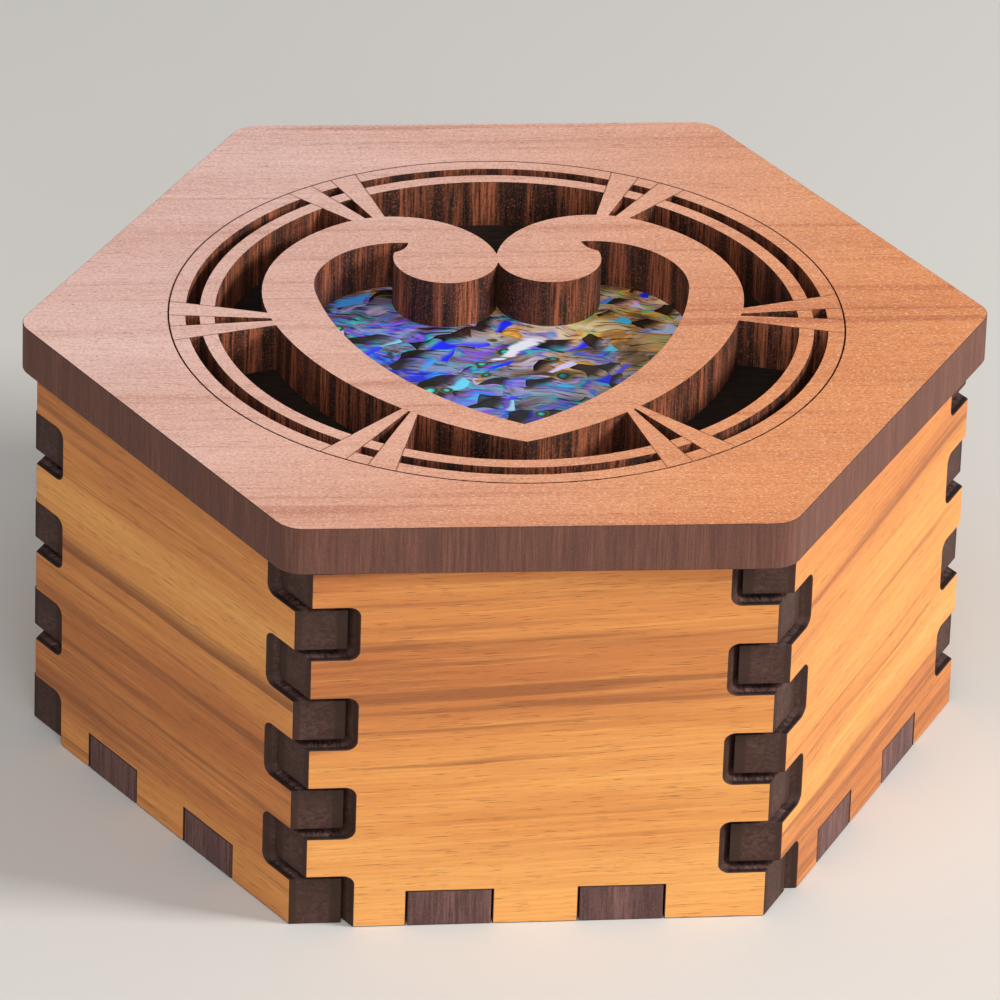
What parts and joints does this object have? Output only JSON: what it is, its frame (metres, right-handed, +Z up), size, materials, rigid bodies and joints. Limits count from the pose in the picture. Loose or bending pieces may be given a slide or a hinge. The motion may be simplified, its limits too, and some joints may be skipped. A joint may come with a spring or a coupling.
{
  "type": "wind-up music box",
  "caption": "Six-sided finger-jointed wooden box whose lid, with a fret-cut heart over shell, turns to wind a small cylinder music movement inside.",
  "frame": {"origin": "centre of the box's underside, on the surface it stands on", "axes": "+Z up, -Y towards the front wall, +X to the right seen from the front"},
  "size_m": [0.1228, 0.1086, 0.0578],
  "materials": {
    "wall_wood": "satin golden-brown veneer",
    "floor_wood": "satin, dark burnt edges",
    "lid_wood": "satin pinkish-brown veneer",
    "dark_board": "matt, stained dark",
    "shell": "glossy iridescent shell",
    "zinc": "cast, plain",
    "brass": "turned and polished",
    "steel": "ground"
  },
  "bodies": {
    "box": {"wall_front": "wall_wood", "wall_front_right": "wall_wood", "wall_back_right": "wall_wood", "wall_back": "wall_wood", "wall_back_left": "wall_wood", "wall_front_left": "wall_wood", "floor_panel": "floor_wood", "bedplate": "zinc", "mounting_screws": "steel", "spring_housing": "brass", "housing_screws": "steel", "mainspring": "steel", "comb": "steel", "comb_base": "zinc", "comb_screws": "steel", "cylinder_bracket": "brass", "train_bracket": "brass", "governor_frame": "brass", "bracket_screws": "steel"},
    "winding_shaft": {"winding_arbor": "steel", "drive_wheel": "brass"},
    "lid": {"lid_plate": "lid_wood", "fretwork_insert": "lid_wood", "shell_inlay": "shell", "backing_plate": "dark_board", "lid_hub": "brass", "hub_screws": "steel"},
    "cylinder": {"cylinder": "brass", "cylinder_arbor": "steel", "cylinder_pinion": "brass", "cylinder_gear": "brass"},
    "idler": {"idler_arbor": "steel", "idler_pinion": "brass", "worm_wheel": "brass"},
    "governor": {"worm_shaft": "steel", "air_brake": "brass"}
  },
  "joints": [
    {"name": "lid_winding", "type": "hinge", "parent": "box", "child": "winding_shaft", "pos_m": [0, 0, 0.03], "axis": [0, 0, 1], "continuous": true},
    {"name": "lid_lift", "type": "slide", "parent": "winding_shaft", "child": "lid", "axis": [0, 0, 1], "range_m": [0, 0.06]},
    {"name": "cylinder_turn", "type": "hinge", "parent": "box", "child": "cylinder", "pos_m": [0.026, 0, 0.0236], "axis": [1, 0, 0], "continuous": true},
    {"name": "idler_turn", "type": "hinge", "parent": "box", "child": "idler", "pos_m": [0.033, 0.012, 0.0236], "axis": [1, 0, 0], "continuous": true},
    {"name": "governor_turn", "type": "hinge", "parent": "box", "child": "governor", "pos_m": [0.029, 0.0175, 0.0236], "axis": [0, 0, 1], "continuous": true}
  ],
  "couplings": [
    {"joint": "cylinder_turn", "follows": "lid_winding", "ratio": 4},
    {"joint": "idler_turn", "follows": "lid_winding", "ratio": -12},
    {"joint": "governor_turn", "follows": "lid_winding", "ratio": 192}
  ]
}
